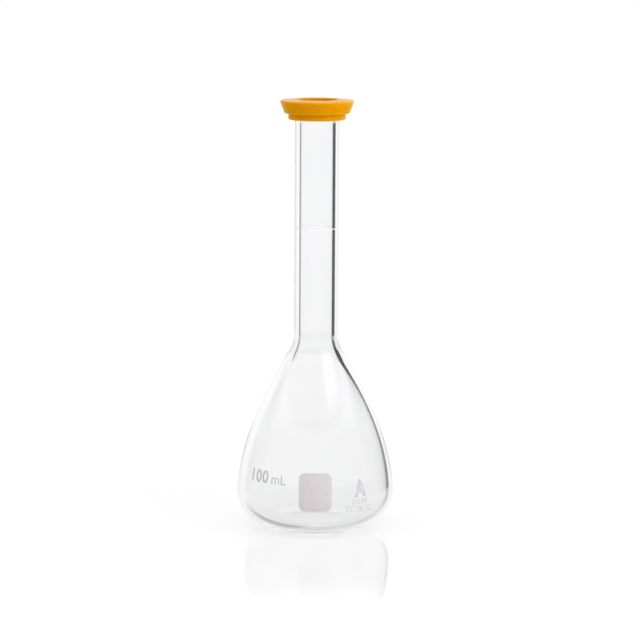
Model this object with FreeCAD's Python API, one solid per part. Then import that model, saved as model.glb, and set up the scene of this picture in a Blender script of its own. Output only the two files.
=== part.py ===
import FreeCAD, Part
import math
import os

# Volumetric flask for 100 mL with a beaded mouth, and the moulded cap that snaps over the mouth.
# Millimetres. The origin is the centre of the base on the bench, +Z runs up the neck, the print faces -Y.

# Bulb, outside
belly_radius = 29.6
belly_height = 13.5
foot_radius = 17.2
foot_width = 3.4
push_up = 1.5
heel_side_pull = 8.4
heel_floor_pull = 4.4

# Shoulder, outside: a cone that bends out of the belly and into the neck
shoulder_height = 70.3
shoulder_angle = 29.5
shoulder_pull = 16.0
belly_pull = 18.6
neck_fillet = 12.8

# Throat: the shoulder's inside, steeper, so that the glass is thickest where the neck is joined on
throat_drop = 3.5
throat_angle = 36.0
throat_pull = 8.1
inner_belly_pull = 21.3
throat_fillet = 19.1

# Glass thickness at the belly, the base and the neck
bulb_wall = 2.3
base_wall = 2.4
neck_wall = 2.25

# Neck and mouth
neck_radius = 8.25
neck_length = 88.4
bead_projection = 1.1
bead_height = 3.4
bead_round = 0.6
lip_round = 0.6
seat_step = 0.4
seat_depth = 3.5

# Fired enamel: the ring round the neck and the plain field on the bulb's front
enamel_thickness = 0.08
line_above_shoulder = 43.3
line_width = 0.3
patch_width = 12.3
patch_height = 14.3
patch_corner = 2.4
patch_above_bench = 17.8

# Snap cap
panel_thickness = 1.3
recess_depth = 2.1
top_ring_width = 6.4
top_ring_fall = 0.45
flare = 1.8
ledge_width = 1.45
collar_height = 2.35
skirt_wall = 1.15
skirt_clearance = 0.3
snap_clearance = 0.08
snap_room = 0.8
snap_lead = 0.3
plug_clearance = 0.08
plug_depth = 2.9
plug_wall = 1.2
edge_round = 0.45
inner_round = 0.25

# Places that follow from the sizes above
bore_radius = neck_radius - neck_wall
throat_height = shoulder_height - throat_drop
seat_radius = bore_radius + seat_step
bead_radius = neck_radius + bead_projection
mouth_height = shoulder_height + neck_length
bead_bottom = mouth_height - bead_height
line_height = shoulder_height + line_above_shoulder
foot_inner_radius = foot_radius - foot_width

# The arc of a rounded corner takes up at most this share of the shorter run beside it
corner_share = 0.45


def place(r, z):
    """A point of a half section: r out from the axis along +X, z up."""
    return FreeCAD.Vector(r, 0, z)


def line(start, end):
    return Part.LineSegment(start, end).toShape()


def curve(start, start_pull, end_pull, end):
    """A cubic curve that leaves start along start_pull and reaches end from end_pull."""
    bow = Part.BezierCurve()
    bow.setPoles([start, start + start_pull, end + end_pull, end])
    return bow.toShape()


def rounded_path(corners):
    """Straight runs through (point, radius) corners, with a tangent arc at each corner that has a radius."""
    edges = []
    here = corners[0][0]
    for (corner, radius), (ahead, _) in zip(corners[1:-1], corners[2:]):
        if radius == 0:
            edges.append(line(here, corner))
            here = corner
            continue
        back = (here - corner).normalize()
        forth = (ahead - corner).normalize()
        half = back.getAngle(forth) / 2
        longest = corner_share * min((here - corner).Length, (ahead - corner).Length)
        tangent = min(radius / math.tan(half), longest)
        inward = (back + forth).normalize()
        depth = tangent / math.cos(half) - tangent * math.tan(half)
        start = corner + back * tangent
        end = corner + forth * tangent
        edges.append(line(here, start))
        edges.append(Part.Arc(start, corner + inward * depth, end).toShape())
        here = end
    edges.append(line(here, corners[-1][0]))
    return edges


def turned(edges):
    """The solid of revolution whose closed half section is made of these edges."""
    wire = Part.Wire(Part.sortEdges(edges)[0])
    axis = FreeCAD.Vector(0, 0, 1)
    return Part.Face(wire).revolve(FreeCAD.Vector(), axis, 360)


def base_dome(raised):
    """The pushed-up middle of the base, an arc from the axis to the foot ring, raised above the bench."""
    reach = foot_inner_radius
    dome = (reach ** 2 + push_up ** 2) / (2 * push_up)
    halfway = math.asin(reach / dome) / 2
    crown = raised + push_up
    middle = place(dome * math.sin(halfway), crown - dome * (1 - math.cos(halfway)))
    return Part.Arc(place(0, crown), middle, place(reach, raised)).toShape()


def neck_tangent(corner_height, angle, fillet):
    """Height at which the neck's side runs into the fillet above the corner of a cone at this angle."""
    return corner_height + fillet * math.tan(math.radians(angle) / 2)


def bulb_side(belly, floor, neck, corner_height, angle, fillet, low_pull, high_pull):
    """Heel, belly, cone and neck fillet, from the foot ring at floor up to the neck's straight side."""
    rise = (belly_height - floor) / belly_height
    spread = (belly - foot_radius) / (belly_radius - foot_radius)
    turn = math.radians(angle)
    down_cone = place(math.sin(turn), -math.cos(turn))
    widest = place(belly, belly_height)
    neck_side = place(neck, neck_tangent(corner_height, angle, fillet))
    corner = place(neck, corner_height)
    cone_top = corner + down_cone * (neck_side - corner).Length
    fillet_middle = neck_side + place(
        fillet * (1 - math.cos(turn / 2)), -fillet * math.sin(turn / 2)
    )
    heel = curve(
        place(foot_radius, floor),
        place(heel_floor_pull * spread, 0),
        place(0, -heel_side_pull * rise),
        widest,
    )
    shoulder = curve(widest, place(0, low_pull), down_cone * high_pull, cone_top)
    return [heel, shoulder, Part.Arc(cone_top, fillet_middle, neck_side).toShape()]


def outer_side(coat=0.0):
    """The bulb's outer side, with a coat of enamel over it."""
    return bulb_side(
        belly_radius + coat,
        0,
        neck_radius + coat,
        shoulder_height,
        shoulder_angle,
        neck_fillet,
        belly_pull,
        shoulder_pull,
    )


def outer_top():
    return neck_tangent(shoulder_height, shoulder_angle, neck_fillet)


def inner_side():
    return bulb_side(
        belly_radius - bulb_wall,
        base_wall,
        bore_radius,
        throat_height,
        throat_angle,
        throat_fillet,
        inner_belly_pull,
        throat_pull,
    )


def bore_start():
    return place(bore_radius, neck_tangent(throat_height, throat_angle, throat_fillet))


def flask():
    """Bulb, neck and beaded mouth, one piece of glass."""
    mouth = [
        (place(neck_radius, outer_top()), 0),
        (place(neck_radius, bead_bottom), bead_round),
        (place(bead_radius, bead_bottom + bead_projection), bead_round),
        (place(bead_radius, mouth_height), lip_round),
        (place(seat_radius, mouth_height), lip_round),
        (place(seat_radius, mouth_height - seat_depth), 0),
        (place(bore_radius, mouth_height - seat_depth - seat_step), 0),
        (bore_start(), 0),
    ]
    edges = [base_dome(0), line(place(foot_inner_radius, 0), place(foot_radius, 0))]
    edges += outer_side()
    edges += rounded_path(mouth)
    edges += inner_side()
    edges.append(line(place(foot_radius, base_wall), place(foot_inner_radius, base_wall)))
    edges.append(base_dome(base_wall))
    edges.append(line(place(0, push_up + base_wall), place(0, push_up)))
    return turned(edges)


def contents():
    """The liquid that fills the flask to its line."""
    edges = inner_side()
    edges.append(line(bore_start(), place(bore_radius, line_height)))
    edges.append(line(place(bore_radius, line_height), place(0, line_height)))
    edges.append(line(place(0, line_height), place(0, push_up + base_wall)))
    edges.append(base_dome(base_wall))
    edges.append(line(place(foot_inner_radius, base_wall), place(foot_radius, base_wall)))
    return turned(edges)


def graduation_line():
    low = FreeCAD.Vector(0, 0, line_height - line_width / 2)
    ring = Part.makeCylinder(neck_radius + enamel_thickness, line_width, low)
    return ring.cut(Part.makeCylinder(neck_radius, line_width, low))


def filled_bulb(coat):
    """The bulb as a solid body, with a coat over its side."""
    top = outer_top()
    edges = outer_side(coat)
    edges.append(line(place(neck_radius + coat, top), place(0, top)))
    edges.append(line(place(0, top), place(0, 0)))
    edges.append(line(place(0, 0), place(foot_radius, 0)))
    return turned(edges)


def marking_patch():
    """A plain field with round corners, fired on the front of the bulb and as thick as the enamel."""
    left = -patch_width / 2
    low = patch_above_bench - patch_height / 2
    middle = place(0, low)
    corners = [
        (place(-left, low), patch_corner),
        (place(-left, low + patch_height), patch_corner),
        (place(left, low + patch_height), patch_corner),
        (place(left, low), patch_corner),
    ]
    outline = Part.Wire(rounded_path([(middle, 0)] + corners + [(middle, 0)]))
    reach = FreeCAD.Vector(0, -belly_radius - neck_radius, 0)
    stamp = Part.Face(outline).extrude(reach)
    return stamp.common(filled_bulb(enamel_thickness)).cut(filled_bulb(0))


def snap_cap():
    """Recessed panel over the mouth, plug in the bore, skirt over the bead, and outside a flared grip ring
    whose top falls away a little from the recess to the rim."""
    skirt_radius = bead_radius + skirt_clearance
    snap_radius = bead_radius + snap_clearance
    collar_radius = skirt_radius + skirt_wall
    ledge_radius = collar_radius + ledge_width
    rim_radius = ledge_radius + flare
    recess_radius = rim_radius - top_ring_width
    plug_radius = seat_radius - plug_clearance
    panel_top = mouth_height + panel_thickness
    top = panel_top + recess_depth
    skirt_bottom = bead_bottom - snap_room
    ledge = skirt_bottom + collar_height
    plug_bottom = mouth_height - plug_depth
    section = [
        (place(0, mouth_height), 0),
        (place(plug_radius - plug_wall, mouth_height), inner_round),
        (place(plug_radius - plug_wall, plug_bottom), inner_round),
        (place(plug_radius, plug_bottom), edge_round),
        (place(plug_radius, mouth_height), inner_round),
        (place(skirt_radius, mouth_height), inner_round),
        (place(skirt_radius, bead_bottom + snap_lead), inner_round),
        (place(snap_radius, bead_bottom), inner_round),
        (place(snap_radius, skirt_bottom + snap_lead), inner_round),
        (place(snap_radius + snap_lead, skirt_bottom), inner_round),
        (place(collar_radius, skirt_bottom), edge_round),
        (place(collar_radius, ledge), inner_round),
        (place(ledge_radius, ledge), edge_round),
        (place(rim_radius, top - top_ring_fall), edge_round),
        (place(recess_radius, top), edge_round),
        (place(recess_radius, panel_top), edge_round),
        (place(0, panel_top), 0),
    ]
    edges = rounded_path(section)
    edges.append(line(place(0, panel_top), place(0, mouth_height)))
    return turned(edges)


pieces = {
    "flask": flask(),
    "graduation_line": graduation_line(),
    "marking_patch": marking_patch(),
    "snap_cap": snap_cap(),
}

os.makedirs("parts", exist_ok=True)
for name, shape in pieces.items():
    solids = shape.Solids
    print(name, "valid", shape.isValid(), "solids", len(solids), "volume", round(shape.Volume, 3))
    shape.exportStep("parts/" + name + ".step")
print("millilitres to the line:", round(contents().Volume / 1000, 2))
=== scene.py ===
import math

import bmesh
import bpy
from mathutils import Matrix, Vector


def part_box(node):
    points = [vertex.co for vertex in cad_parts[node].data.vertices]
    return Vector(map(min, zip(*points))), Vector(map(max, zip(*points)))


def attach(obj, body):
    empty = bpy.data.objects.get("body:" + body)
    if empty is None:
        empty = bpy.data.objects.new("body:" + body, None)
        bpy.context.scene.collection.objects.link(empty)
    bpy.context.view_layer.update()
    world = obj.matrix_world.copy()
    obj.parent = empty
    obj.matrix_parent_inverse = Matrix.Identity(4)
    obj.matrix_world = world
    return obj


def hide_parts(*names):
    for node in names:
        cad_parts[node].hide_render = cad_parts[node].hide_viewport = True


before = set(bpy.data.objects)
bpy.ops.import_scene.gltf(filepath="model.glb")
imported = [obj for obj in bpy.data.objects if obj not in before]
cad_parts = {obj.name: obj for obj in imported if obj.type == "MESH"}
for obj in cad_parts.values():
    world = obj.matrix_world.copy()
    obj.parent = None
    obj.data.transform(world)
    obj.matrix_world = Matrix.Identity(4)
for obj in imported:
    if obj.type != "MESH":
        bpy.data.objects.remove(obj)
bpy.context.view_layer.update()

MM = 0.001
WELD = 1e-7

# Turned pieces: steps round the axis, the longest run of the half section between two rings of
# points, and how many times the mesh is smoothed
turn_steps = 96
glass_run = 4.0 * MM
cap_run = 1.0 * MM
turn_smoothing = 1

# Fired lettering: its coat, the gap under it, the widest slice of it that stays flat on the bulb,
# the thinnest sliver that is kept, and a distance from the axis that is clear of the bulb
print_coat = 0.04 * MM
print_gap = 0.005 * MM
print_slice = 0.8 * MM
print_sliver = 0.002 * MM
outside_bulb = 45.0 * MM

# Lines of lettering: their ends in degrees round the bulb from the front, the height of the
# baseline above the bench and of a capital in millimetres, how far the strokes are swollen, and the
# spacing of the letters
printed_lines = {
    "print_capacity": dict(
        words="100", left=-54.4, right=-37.6, base=20.1, capital=4.6, boldness=0.016, spacing=1.12
    ),
    "print_unit": dict(
        words="mL", left=-34.4, right=-22.4, base=20.0, capital=3.7, boldness=0.0, spacing=1.0
    ),
    "print_class": dict(
        words="A", left=30.2, right=40.0, base=15.9, capital=6.3, boldness=0.045, spacing=1.0
    ),
}
faint_lines = {
    "print_tolerance": dict(
        words="±0.10", left=28.2, right=41.2, base=12.8, capital=2.1, boldness=0.015, spacing=1.05
    ),
    "print_temperature": dict(
        words="TC 20 °C", left=22.5, right=45.7, base=9.9, capital=2.3, boldness=0.01, spacing=1.05
    ),
}

# Surface effects: how finely the noise of each is divided, where a cloud starts and is full, how
# rare large specks are, and the share of a speck that is solid
wave_detail = 1.0
grain_detail = 3.0
cloud_detail = 4.0
cloud_edge = (0.35, 0.65)
speck_rarity = 3.0
speck_core = 0.5

# Glass: the two tones that it drifts between, its refractive index, the depth of its waves, and the
# share of a lamp's light that it lets through
glass_tones = ((0.984, 0.984, 0.99, 1), (0.978, 0.98, 0.984, 1))
glass_index = 1.473
glass_wave_depth = 0.006 * MM
glass_shadow = 0.93

# Cap: the tones of the plastic and of the dust on it, how much light goes inside and how far each
# colour of it wanders, its shine, the least and most roughness where it has been handled, in patches
# to the metre, and the depth of the marks on its skin
cap_tones = ((0.605, 0.262, 0.0006, 1), (0.59, 0.25, 0.0004, 1))
cap_dust_tone = (0.78, 0.42, 0.06, 1)
cap_dust_share = 0.25
cap_glow = 0.7
cap_glow_colours = (1.0, 0.8, 0.12)
cap_glow_reach = 3.0 * MM
cap_specular = 0.03
cap_roughness = (0.12, 0.26)
cap_handling = 260.0
cap_skin_depth = 0.03 * MM

# Enamel: the tones of each print and of the pinholes in it, the least and most roughness, and the
# depth of the grain
patch_tones = ((0.565, 0.523, 0.537, 1), (0.545, 0.505, 0.518, 1))
line_tones = ((0.92, 0.92, 0.92, 1), (0.88, 0.88, 0.89, 1))
letter_tones = ((0.48, 0.48, 0.49, 1), (0.52, 0.52, 0.53, 1))
faint_tones = ((0.54, 0.54, 0.55, 1), (0.58, 0.58, 0.59, 1))
pinhole_tone = (0.9, 0.9, 0.92, 1)
pinhole_share = 0.3
enamel_roughness = (0.45, 0.75)
enamel_grain_depth = 0.01 * MM

# The line round the neck: how far it reaches to the front and to the back, and how much of the glass
# it hides at each. It hides less at the back as painted backlight, standing in for light from behind
# that shines through the line there, so its shaded inner side barely shows
line_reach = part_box("graduation_line")[1].y
line_cover_and_painted_backlight = (0.5, 0.14)

# Camera, worked out from how the outline's ellipses open from mouth to foot in the photograph
camera_distance = 1.1258
camera_height = 0.2451
camera_pitch = math.radians(8.42)
camera_pan = math.radians(-0.076)
camera_roll = math.radians(0.3)
camera_lens = 169.08
camera_sensor = 36.0

# White table: half its width, how far from the flask it fades to plain white and stops mirroring, how
# much of the light on it and of its own light it shows, its gloss, and what it sends to the pieces
table_reach = 3.0
table_fade = (0.25, 0.5)
table_mirror = (0.09, 0.17)
table_shade = 0.3
table_lift = 0.75
table_roughness = 0.06
table_index = 2.0
table_bounce = 0.85

# Light on the pieces: even from all round, with more from overhead, and one large lamp
ambient_level = 0.75
overhead_level = 0.7
overhead_edge = (20, 70)
key_power = 12.0
key_size = 1.0
key_place = Vector((1.1, -0.9, 0.65))
key_aim = Vector((0.0, 0.0, 0.09))

# Light is trapped in the glass wall for many bounces. Counts of bounces are told apart at two values:
# none from some, and the faces of one wall, which are two, from those of more walls.
glass_bounces = 160
some_bounces = 0.5
more_walls = 2.5

# The surround is written in degrees, of height from level and of side from straight ahead, with the
# right positive. An edge, or sides where left and right are alike, is where a change starts and where
# it is complete. A band is its two ends and the width of its soft edges. A share is how much of the
# light a part takes away.

# Room seen through the glass
room_ceiling_edge = (30, 60)
room_ceiling_share = 0.45
room_lintel_edge = (8, 16)
room_lintel_sides = (18, 28)
room_lintel_share = 0.15
room_table_edge = (-12, -6)
room_table_share = 0.04
room_rim_edge = (-10.6, -9.4)
room_rim_share = 0.022
room_floor_edge = (-42, -18)
room_floor_sides = (60, 90)
room_floor_share = 0.28
room_left_floor_band = (-36, -11, 5)
room_left_floor_share = 0.35
room_backdrop_edge = (3, 8)
room_backdrop_share = 0.16

# Dark cards beside the white far end
card_band = (-9.8, 26, 2.2)
card_foot_band = (-14, -12, 20)
card_foot_edge = (-12, -9.8)
card_foot_share = 0.45
card_right_edge = (27, 30)
card_right_share = 0.96
card_left_edge = (-52, -44)
card_left_share = 0.68
card_flank_edge = (60, 76)
card_flank_share = 0.45
card_rear_edge = (120, 150)
card_rear_share = 0.5

# Room that the surfaces mirror
lamp_end_sides = (60, 100)
lamp_end_share = 0.7
lamp_table_edge = (0, 8)
lamp_table_share = 0.12
lamp_top_edge = (14, 19)
lamp_top_sides = (25, 40)
lamp_top_share = 0.8
lamp_floor_edge = (-26, -12)
lamp_floor_sides = (30, 60)
lamp_floor_share = 0.75
softbox_side_band = (112, 142, 18)
softbox_height_band = (42, 62, 9)
softbox_level = 2.0
frieze_sides = (80, 100)
frieze_band = (4, 30, 4)

# Kinds of socket, and where a Mix node keeps its two values and its result for each kind of data
NUMBER = "NodeSocketFloat"
COLOUR = "NodeSocketColor"
mix_sockets = {"FLOAT": (2, 3, 0), "RGBA": (6, 7, 2)}


# Node helpers


def linked(tree, socket, value):
    """Gives a node's input a plain value or another node's output."""
    if isinstance(value, bpy.types.NodeSocket):
        tree.links.new(value, socket)
    else:
        socket.default_value = value


def calc(tree, operation, *values):
    node = tree.nodes.new("ShaderNodeMath")
    node.operation = operation
    for socket, value in zip(node.inputs, values):
        linked(tree, socket, value)
    return node.outputs[0]


def rise(tree, value, start, end):
    """A smooth step from 0 at start to 1 at end."""
    node = tree.nodes.new("ShaderNodeMapRange")
    node.interpolation_type = "SMOOTHSTEP"
    linked(tree, node.inputs["Value"], value)
    linked(tree, node.inputs["From Min"], start)
    linked(tree, node.inputs["From Max"], end)
    return node.outputs["Result"]


def fall(tree, value, start, end):
    """A smooth step from 1 at start to 0 at end."""
    return calc(tree, "SUBTRACT", 1.0, rise(tree, value, start, end))


def times(tree, first, *others):
    for other in others:
        first = calc(tree, "MULTIPLY", first, other)
    return first


def band(tree, value, start, end, soft):
    """1 between start and end, with soft edges outside."""
    low = rise(tree, value, start - soft, start)
    return times(tree, low, fall(tree, value, end, end + soft))


def dimmed(tree, level, *shares):
    """A level with a share taken off it by each mask in turn."""
    for share in shares:
        level = times(tree, level, calc(tree, "SUBTRACT", 1.0, share))
    return level


def mix_of(tree, kind, share, first, second):
    node = tree.nodes.new("ShaderNodeMix")
    node.data_type = kind
    first_place, second_place, result_place = mix_sockets[kind]
    linked(tree, node.inputs[0], share)
    linked(tree, node.inputs[first_place], first)
    linked(tree, node.inputs[second_place], second)
    return node.outputs[result_place]


def blended(tree, share, first, second):
    """A number that goes from first to second as the share grows."""
    return mix_of(tree, "FLOAT", share, first, second)


def tinted(tree, share, first, second):
    """A colour that goes from first to second as the share grows."""
    return mix_of(tree, "RGBA", share, first, second)


def own_place(tree):
    """Where a point lies in the piece's own coordinates."""
    return tree.nodes.new("ShaderNodeTexCoord").outputs["Object"]


def noise(tree, scale, detail):
    """Noise in the piece's own coordinates."""
    node = tree.nodes.new("ShaderNodeTexNoise")
    linked(tree, node.inputs["Vector"], own_place(tree))
    linked(tree, node.inputs["Scale"], scale)
    linked(tree, node.inputs["Detail"], detail)
    return node.outputs["Fac"]


def bumped(tree, height, depth):
    bump = tree.nodes.new("ShaderNodeBump")
    bump.inputs["Distance"].default_value = depth
    tree.links.new(height, bump.inputs["Height"])
    return bump.outputs["Normal"]


def mixed(tree, share, first, second):
    """A shader that goes from first to second as the share grows."""
    node = tree.nodes.new("ShaderNodeMixShader")
    for socket, output in zip(node.inputs, (share, first, second)):
        tree.links.new(output, socket)
    return node.outputs[0]


def grey(level):
    return (level, level, level, 1)


def empty_material(name):
    material = bpy.data.materials.new(name)
    material.use_nodes = True
    material.node_tree.nodes.clear()
    return material, material.node_tree


def put_out(tree, shader):
    out = tree.nodes.new("ShaderNodeOutputMaterial")
    tree.links.new(shader, out.inputs["Surface"])


# Node groups that the finishes share


def new_group(name, inputs, output, output_kind):
    """A node group with these inputs, each a name and its kind, and one output. Gives the group and
    its input sockets."""
    group = bpy.data.node_groups.new(name, "ShaderNodeTree")
    for label, kind in inputs.items():
        group.interface.new_socket(label, in_out="INPUT", socket_type=kind)
    group.interface.new_socket(output, in_out="OUTPUT", socket_type=output_kind)
    return group, group.nodes.new("NodeGroupInput").outputs


def group_result(group, result):
    out = group.nodes.new("NodeGroupOutput")
    group.links.new(result, out.inputs[0])
    return group


def uneven_surface_group():
    """Height of a surface with slow waves and a fine grain on them."""
    inputs = {"Waves per metre": NUMBER, "Grains per metre": NUMBER, "Grain share": NUMBER}
    group, given = new_group("uneven surface", inputs, "Height", NUMBER)
    waves = noise(group, given["Waves per metre"], wave_detail)
    grains = noise(group, given["Grains per metre"], grain_detail)
    return group_result(group, blended(group, given["Grain share"], waves, grains))


def drifting_colour_group():
    """A colour that drifts towards another in soft clouds."""
    inputs = {"Colour": COLOUR, "Drift": COLOUR, "Clouds per metre": NUMBER}
    group, given = new_group("drifting colour", inputs, "Colour", COLOUR)
    clouds = rise(group, noise(group, given["Clouds per metre"], cloud_detail), *cloud_edge)
    return group_result(group, tinted(group, clouds, given["Colour"], given["Drift"]))


def specks_group():
    """A mask of small round specks, some large and most of them very small."""
    inputs = {"Cells per metre": NUMBER, "Largest": NUMBER}
    group, given = new_group("specks", inputs, "Mask", NUMBER)
    cells = group.nodes.new("ShaderNodeTexVoronoi")
    group.links.new(own_place(group), cells.inputs["Vector"])
    group.links.new(given["Cells per metre"], cells.inputs["Scale"])
    draw = group.nodes.new("ShaderNodeSeparateColor")
    group.links.new(cells.outputs["Color"], draw.inputs[0])
    reach = times(group, calc(group, "POWER", draw.outputs[0], speck_rarity), given["Largest"])
    core = times(group, reach, speck_core)
    return group_result(group, fall(group, cells.outputs["Distance"], core, reach))


uneven_surface = uneven_surface_group()
drifting_colour = drifting_colour_group()
specks = specks_group()


def placed(tree, group, **values):
    """A node group placed in a material, with its inputs given by name."""
    node = tree.nodes.new("ShaderNodeGroup")
    node.node_tree = group
    for label, value in values.items():
        linked(tree, node.inputs[label.replace("_", " ")], value)
    return node.outputs[0]


def drifting(tree, tones, clouds_per_metre):
    """A colour that drifts between two tones."""
    colour, drift = tones
    return placed(
        tree, drifting_colour, Colour=colour, Drift=drift, Clouds_per_metre=clouds_per_metre
    )


# Finishes


def clear_glass():
    """Drawn and blown borosilicate glass, a little wavy. Lamps shine through it, so that its shadow
    stays light."""
    material, tree = empty_material("clear glass")
    glass = tree.nodes.new("ShaderNodeBsdfPrincipled")
    glass.inputs["Roughness"].default_value = 0.0
    glass.inputs["IOR"].default_value = glass_index
    glass.inputs["Transmission Weight"].default_value = 1.0
    tone = drifting(tree, glass_tones, clouds_per_metre=25.0)
    tree.links.new(tone, glass.inputs["Base Color"])
    waves = placed(
        tree, uneven_surface, Waves_per_metre=40.0, Grains_per_metre=120.0, Grain_share=0.05
    )
    tree.links.new(bumped(tree, waves, glass_wave_depth), glass.inputs["Normal"])
    open_way = tree.nodes.new("ShaderNodeBsdfTransparent")
    open_way.inputs["Color"].default_value = grey(glass_shadow)
    path = tree.nodes.new("ShaderNodeLightPath")
    shader = mixed(tree, path.outputs["Is Shadow Ray"], glass.outputs[0], open_way.outputs[0])
    put_out(tree, shader)
    return material


def cap_plastic():
    """Dyed polyethylene from a polished mould, with slow flow marks and a little dust."""
    material, tree = empty_material("cap plastic")
    plastic = tree.nodes.new("ShaderNodeBsdfPrincipled")
    flow = drifting(tree, cap_tones, clouds_per_metre=140.0)
    dust = placed(tree, specks, Cells_per_metre=900.0, Largest=0.16)
    tone = tinted(tree, times(tree, dust, cap_dust_share), flow, cap_dust_tone)
    tree.links.new(tone, plastic.inputs["Base Color"])
    plastic.inputs["Subsurface Weight"].default_value = cap_glow
    plastic.inputs["Subsurface Radius"].default_value = cap_glow_colours
    plastic.inputs["Subsurface Scale"].default_value = cap_glow_reach
    plastic.inputs["Specular IOR Level"].default_value = cap_specular
    handled = noise(tree, cap_handling, grain_detail)
    tree.links.new(blended(tree, handled, *cap_roughness), plastic.inputs["Roughness"])
    skin = placed(
        tree, uneven_surface, Waves_per_metre=160.0, Grains_per_metre=3500.0, Grain_share=0.06
    )
    tree.links.new(bumped(tree, skin, cap_skin_depth), plastic.inputs["Normal"])
    put_out(tree, plastic.outputs[0])
    return material


def fired_enamel(name, tones, cover=None):
    """Screened and fired enamel: cloudy, grainy and matt, with pinholes. Cover is how much of the
    glass it hides at the front of the neck and at the back. Less cover at the back is painted
    backlight, standing in for light from behind shining through the line's shaded inner side."""
    material, tree = empty_material(name)
    enamel = tree.nodes.new("ShaderNodeBsdfPrincipled")
    clouds = drifting(tree, tones, clouds_per_metre=420.0)
    pinholes = placed(tree, specks, Cells_per_metre=1400.0, Largest=0.3)
    tone = tinted(tree, times(tree, pinholes, pinhole_share), clouds, pinhole_tone)
    tree.links.new(tone, enamel.inputs["Base Color"])
    grain = placed(
        tree, uneven_surface, Waves_per_metre=600.0, Grains_per_metre=7000.0, Grain_share=0.5
    )
    tree.links.new(blended(tree, grain, *enamel_roughness), enamel.inputs["Roughness"])
    tree.links.new(bumped(tree, grain, enamel_grain_depth), enamel.inputs["Normal"])
    if cover:
        place = tree.nodes.new("ShaderNodeSeparateXYZ")
        tree.links.new(own_place(tree), place.inputs[0])
        # Cover falls towards the back: painted backlight in place of light from behind shining through
        towards_back = rise(tree, place.outputs["Y"], -line_reach, line_reach)
        tree.links.new(blended(tree, towards_back, *cover), enamel.inputs["Alpha"])
    put_out(tree, enamel.outputs[0])
    return material


# Pieces


def shown(name, data):
    piece = bpy.data.objects.new(name, data)
    bpy.context.scene.collection.objects.link(piece)
    return piece


def new_piece(name, shape, material):
    """A piece from a finished bmesh."""
    mesh = bpy.data.meshes.new(name)
    shape.to_mesh(mesh)
    shape.free()
    mesh.materials.append(material)
    return shown(name, mesh)


def cut_across(shape, place, across, keep_above=True, keep_below=True):
    bmesh.ops.bisect_plane(
        shape,
        geom=shape.verts[:] + shape.edges[:] + shape.faces[:],
        dist=WELD,
        plane_co=place,
        plane_no=across,
        clear_inner=not keep_below,
        clear_outer=not keep_above,
    )


def half_section(node, longest_run):
    """The outline of a turned node in the half plane through +X, as edges no longer than longest_run."""
    outline = bmesh.new()
    outline.from_mesh(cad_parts[node].data)
    bmesh.ops.remove_doubles(outline, verts=outline.verts, dist=WELD)
    cut_across(outline, (0, 0, 0), (0, 1, 0), keep_above=False, keep_below=False)
    cut_across(outline, (0, 0, 0), (1, 0, 0), keep_below=False)
    for edge in outline.edges[:]:
        cuts = int(edge.calc_length() / longest_run)
        if cuts:
            bmesh.ops.subdivide_edges(outline, edges=[edge], cuts=cuts)
    return outline


def turned(name, node, longest_run, material, body):
    """A smooth piece turned from a node's own half section, shown in the node's place."""
    shape = half_section(node, longest_run)
    bmesh.ops.spin(
        shape,
        geom=shape.verts[:] + shape.edges[:],
        cent=(0, 0, 0),
        axis=(0, 0, 1),
        angle=math.tau,
        steps=turn_steps,
        use_merge=True,
    )
    bmesh.ops.remove_doubles(shape, verts=shape.verts, dist=WELD)
    bmesh.ops.recalc_face_normals(shape, faces=shape.faces)
    for face in shape.faces:
        face.smooth = True
    piece = new_piece(name, shape, material)
    smoothing = piece.modifiers.new("smoothing", "SUBSURF")
    smoothing.levels = turn_smoothing
    smoothing.render_levels = turn_smoothing
    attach(piece, body)
    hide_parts(node)
    return piece


def flat_words(words, boldness, spacing):
    """The words as a flat mesh on the XY plane, with the baseline on Y = 0."""
    curve = bpy.data.curves.new("words", "FONT")
    curve.body = words
    curve.offset = boldness
    curve.space_character = spacing
    writing = shown("words", curve)
    graph = bpy.context.evaluated_depsgraph_get()
    mesh = bpy.data.meshes.new_from_object(writing.evaluated_get(graph))
    shape = bmesh.new()
    shape.from_mesh(mesh)
    bpy.data.objects.remove(writing)
    bpy.data.curves.remove(curve)
    bpy.data.meshes.remove(mesh)
    bmesh.ops.remove_doubles(shape, verts=shape.verts, dist=WELD)
    return shape


def sliced(shape, across, step):
    """Cuts the shape by parallel planes, a step apart."""
    reach = [vert.co.dot(across) for vert in shape.verts]
    for count in range(1, int((max(reach) - min(reach)) / step) + 1):
        cut_across(shape, across * (min(reach) + count * step), across)


def fired_on(name, glass, material, words, left, right, base, capital, boldness, spacing):
    """A line of lettering wrapped round the bulb."""
    shape = flat_words(words, boldness, spacing)
    ends = [vert.co.x for vert in shape.verts]
    top = max(vert.co.y for vert in shape.verts)
    arc = math.radians(right - left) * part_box("flask")[1].x
    stretch = (arc / (max(ends) - min(ends)), capital * MM / top, 1)
    bmesh.ops.translate(shape, vec=(-min(ends), 0, 0), verts=shape.verts)
    bmesh.ops.scale(shape, vec=stretch, verts=shape.verts)
    sliced(shape, Vector((1, 0, 0)), print_slice)
    sliced(shape, Vector((0, 1, 0)), print_slice)
    bmesh.ops.dissolve_degenerate(shape, dist=print_sliver, edges=shape.edges)
    bulb = glass.evaluated_get(bpy.context.evaluated_depsgraph_get())
    for vert in shape.verts:
        turn = math.radians(left + (right - left) * vert.co.x / arc)
        inward = Vector((-math.sin(turn), math.cos(turn), 0))
        start = Vector((0, 0, base * MM + vert.co.y)) - inward * outside_bulb
        _, place, out, _ = bulb.ray_cast(start, inward)
        vert.co = place + out * print_gap
    piece = new_piece(name, shape, material)
    coat = piece.modifiers.new("coat", "SOLIDIFY")
    coat.thickness = print_coat
    coat.offset = 1.0
    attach(piece, "flask_body")


# Stage


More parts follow.
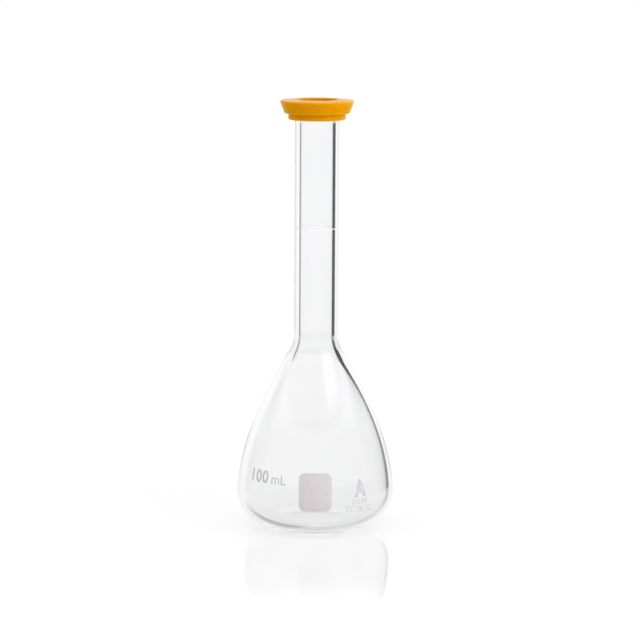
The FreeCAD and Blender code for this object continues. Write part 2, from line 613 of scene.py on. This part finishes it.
def scattering(tree, level):
    node = tree.nodes.new("ShaderNodeBsdfDiffuse")
    node.inputs["Color"].default_value = grey(level)
    return node.outputs[0]


def glowing(tree, level):
    node = tree.nodes.new("ShaderNodeEmission")
    node.inputs["Strength"].default_value = level
    return node.outputs[0]


def table_white():
    """White for the camera, with the object's soft shadow and faint reflection near it. The rest of
    the light meets a plain white table."""
    material, tree = empty_material("white table")
    length = tree.nodes.new("ShaderNodeVectorMath")
    length.operation = "LENGTH"
    tree.links.new(own_place(tree), length.inputs[0])
    away = length.outputs["Value"]
    near = tree.nodes.new("ShaderNodeAddShader")
    tree.links.new(scattering(tree, table_shade), near.inputs[0])
    tree.links.new(glowing(tree, table_lift), near.inputs[1])
    gloss = tree.nodes.new("ShaderNodeBsdfGlossy")
    gloss.inputs["Roughness"].default_value = table_roughness
    mirror = tree.nodes.new("ShaderNodeFresnel")
    mirror.inputs["IOR"].default_value = table_index
    mirrored = times(tree, mirror.outputs[0], fall(tree, away, *table_mirror))
    shiny = mixed(tree, mirrored, near.outputs[0], gloss.outputs[0])
    seen = mixed(tree, rise(tree, away, *table_fade), shiny, glowing(tree, 1.0))
    path = tree.nodes.new("ShaderNodeLightPath")
    bounce = scattering(tree, table_bounce)
    put_out(tree, mixed(tree, path.outputs["Is Camera Ray"], bounce, seen))
    return material


def lay_table():
    shape = bmesh.new()
    bmesh.ops.create_grid(shape, x_segments=1, y_segments=1, size=table_reach)
    floor = new_piece("white_table", shape, table_white())
    floor.visible_transmission = False
    floor.visible_glossy = False


def white_room(tree, side, height, one_wall):
    """What is seen through the glass: a white room, a little darker overhead and towards the table.
    Its floor is darker too, but only for light that has passed one wall."""
    away = calc(tree, "ABSOLUTE", side)
    ceiling = times(tree, rise(tree, height, *room_ceiling_edge), room_ceiling_share)
    lintel = times(
        tree,
        fall(tree, away, *room_lintel_sides),
        rise(tree, height, *room_lintel_edge),
        room_lintel_share,
    )
    table = times(tree, fall(tree, height, *room_table_edge), room_table_share)
    rim = times(tree, fall(tree, height, *room_rim_edge), room_rim_share)
    below = times(
        tree, fall(tree, height, *room_floor_edge), fall(tree, away, *room_floor_sides), one_wall
    )
    floor = times(tree, below, room_floor_share)
    left_floor = times(
        tree, below, band(tree, side, *room_left_floor_band), room_left_floor_share
    )
    return dimmed(tree, 1.0, ceiling, lintel, table, rim, floor, left_floor)


def wall_cards(tree, side, height):
    """Dark cards beside the white far end, which only light that is mirrored inside a wall shows."""
    away = calc(tree, "ABSOLUTE", side)
    upright = band(tree, height, *card_band)
    foot = times(
        tree,
        band(tree, height, *card_foot_band),
        fall(tree, height, *card_foot_edge),
        card_foot_share,
    )
    right = times(tree, rise(tree, side, *card_right_edge), card_right_share)
    left = times(tree, fall(tree, side, *card_left_edge), card_left_share)
    cards = times(tree, calc(tree, "ADD", right, left), calc(tree, "ADD", upright, foot))
    flank = times(tree, rise(tree, away, *card_flank_edge), card_flank_share)
    rear = times(tree, rise(tree, away, *card_rear_edge), card_rear_share)
    return dimmed(tree, cards, flank, rear)


def lamp_room(tree, side, height):
    """What the surfaces mirror: a far end that is white up to the backdrop's top, a dim near end with
    a white frieze that the table mirrors, darker below, and one softbox."""
    away = calc(tree, "ABSOLUTE", side)
    near_end = times(tree, rise(tree, away, *lamp_end_sides), lamp_end_share)
    table = times(tree, fall(tree, height, *lamp_table_edge), lamp_table_share)
    above = times(
        tree, rise(tree, height, *lamp_top_edge), rise(tree, away, *lamp_top_sides), lamp_top_share
    )
    below = times(
        tree,
        rise(tree, away, *lamp_floor_sides),
        fall(tree, height, *lamp_floor_edge),
        lamp_floor_share,
    )
    walls = dimmed(tree, 1.0, near_end, above, table, below)
    frieze = times(tree, rise(tree, away, *frieze_sides), band(tree, height, *frieze_band))
    softbox = times(
        tree,
        band(tree, side, *softbox_side_band),
        band(tree, height, *softbox_height_band),
        softbox_level,
    )
    return calc(tree, "ADD", blended(tree, frieze, walls, 1.0), softbox)


def studio_surround():
    """Light from all round, even on the pieces and stronger from overhead. Gloss shows the lamp room,
    and glass the white room with two additions: the cards, for light that is mirrored inside one wall,
    and a darker top of the backdrop, for the flask's picture in the table. The camera sees plain
    white."""
    world = bpy.data.worlds.new("studio")
    world.use_nodes = True
    bpy.context.scene.world = world
    tree = world.node_tree
    tree.nodes.clear()
    direction = tree.nodes.new("ShaderNodeTexCoord").outputs["Generated"]
    parts = tree.nodes.new("ShaderNodeSeparateXYZ")
    tree.links.new(direction, parts.inputs[0])
    side = calc(tree, "DEGREES", calc(tree, "ARCTAN2", parts.outputs["X"], parts.outputs["Y"]))
    height = calc(tree, "DEGREES", calc(tree, "ARCSINE", parts.outputs["Z"]))

    path = tree.nodes.new("ShaderNodeLightPath")
    mirrored = calc(tree, "GREATER_THAN", path.outputs["Glossy Depth"], some_bounces)
    scattered = calc(tree, "GREATER_THAN", path.outputs["Diffuse Depth"], some_bounces)
    one_wall = calc(tree, "LESS_THAN", path.outputs["Transmission Depth"], more_walls)
    two_walls = calc(tree, "SUBTRACT", 1.0, one_wall)

    cards = times(tree, wall_cards(tree, side, height), mirrored, one_wall)
    backdrop_top = times(
        tree, rise(tree, height, *room_backdrop_edge), mirrored, two_walls, room_backdrop_share
    )
    through = dimmed(tree, white_room(tree, side, height, one_wall), cards, backdrop_top)
    overhead = rise(tree, height, *overhead_edge)
    ambient = calc(tree, "MULTIPLY_ADD", overhead, overhead_level, ambient_level)
    level = blended(tree, path.outputs["Is Glossy Ray"], ambient, lamp_room(tree, side, height))
    level = blended(tree, path.outputs["Is Transmission Ray"], level, through)
    level = blended(tree, scattered, level, ambient)
    level = blended(tree, path.outputs["Is Camera Ray"], level, 1.0)

    light = tree.nodes.new("ShaderNodeBackground")
    light.inputs["Color"].default_value = grey(1.0)
    tree.links.new(level, light.inputs["Strength"])
    out = tree.nodes.new("ShaderNodeOutputWorld")
    tree.links.new(light.outputs[0], out.inputs["Surface"])


def key_light():
    data = bpy.data.lights.new("key", "AREA")
    data.energy = key_power
    data.size = key_size
    lamp = shown("key", data)
    lamp.location = key_place
    lamp.rotation_mode = "QUATERNION"
    lamp.rotation_quaternion = (key_aim - key_place).to_track_quat("-Z", "Y")
    lamp.visible_camera = False
    lamp.visible_glossy = False
    lamp.visible_transmission = False


def set_camera():
    data = bpy.data.cameras.new("camera")
    data.lens = camera_lens
    data.sensor_width = camera_sensor
    camera = shown("camera", data)
    turn = (
        Matrix.Rotation(camera_pan, 4, "Z")
        @ Matrix.Rotation(math.pi / 2 - camera_pitch, 4, "X")
        @ Matrix.Rotation(camera_roll, 4, "Z")
    )
    camera.matrix_world = Matrix.Translation((0, -camera_distance, camera_height)) @ turn
    bpy.context.scene.camera = camera


bpy.context.scene.view_settings.view_transform = "Standard"
bpy.context.scene.cycles.max_bounces = glass_bounces
bpy.context.scene.cycles.transmission_bounces = glass_bounces
bpy.context.scene.cycles.glossy_bounces = glass_bounces
set_camera()
studio_surround()
key_light()
lay_table()

glass = turned("flask_glass", "flask", glass_run, clear_glass(), "flask_body")
cap = turned("moulded_cap", "snap_cap", cap_run, cap_plastic(), "cap")

patch_enamel = fired_enamel("patch enamel", patch_tones)
# The line's cover is painted backlight at the back, so its shaded inner side barely shows
line_enamel = fired_enamel("line enamel", line_tones, line_cover_and_painted_backlight)
for node, enamel in (("graduation_line", line_enamel), ("marking_patch", patch_enamel)):
    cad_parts[node].data.materials.clear()
    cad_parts[node].data.materials.append(enamel)

letter_enamel = fired_enamel("letter enamel", letter_tones)
faint_enamel = fired_enamel("faint letter enamel", faint_tones)
for lines, enamel in ((printed_lines, letter_enamel), (faint_lines, faint_enamel)):
    for name, line in lines.items():
        fired_on(name, glass, enamel, **line)
